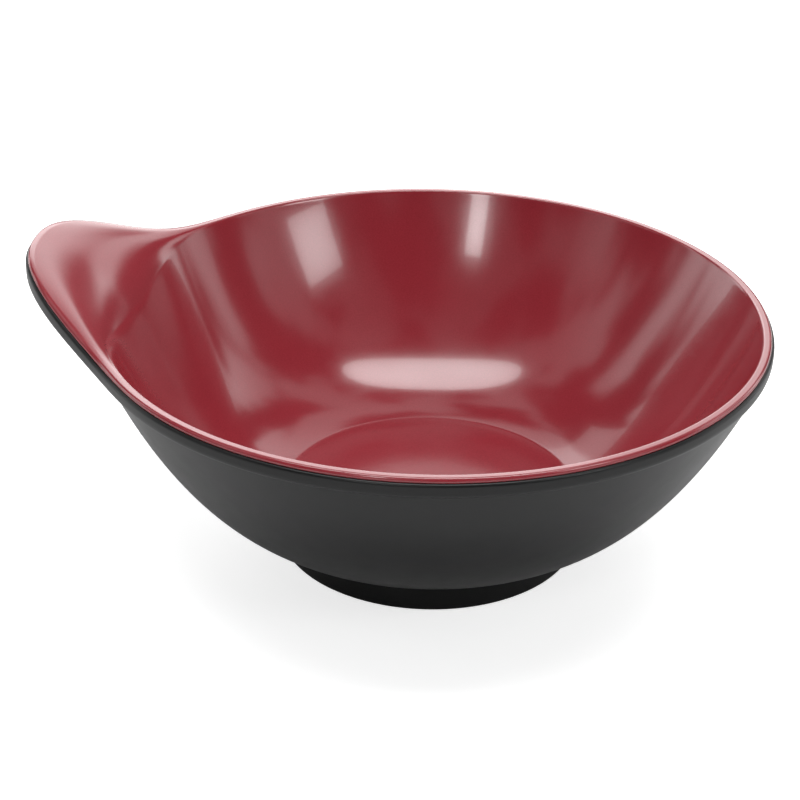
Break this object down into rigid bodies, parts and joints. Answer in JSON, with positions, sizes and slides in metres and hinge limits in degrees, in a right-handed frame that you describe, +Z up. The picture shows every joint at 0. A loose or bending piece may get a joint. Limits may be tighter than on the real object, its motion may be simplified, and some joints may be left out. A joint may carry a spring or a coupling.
{
  "type": "single-handled bowl",
  "caption": "Round shallow bowl with one raised tab handle, a foot ring, a black outer shell and a red inner liner.",
  "frame": {"origin": "middle of the footprint's bounding box, on the plane that the foot ring stands on; the bowl's own axis is 6.5 mm towards -X", "axes": "+X towards the handle's tip, +Z up out of the bowl, and the XZ plane is the mirror plane"},
  "size_m": [0.14, 0.127, 0.058],
  "materials": {
    "black_melamine": "satin black, moulded",
    "red_melamine": "glossy dark red, moulded"
  },
  "bodies": {
    "root": {"outer_shell": "black_melamine", "inner_liner": "red_melamine"}
  },
  "joints": []
}
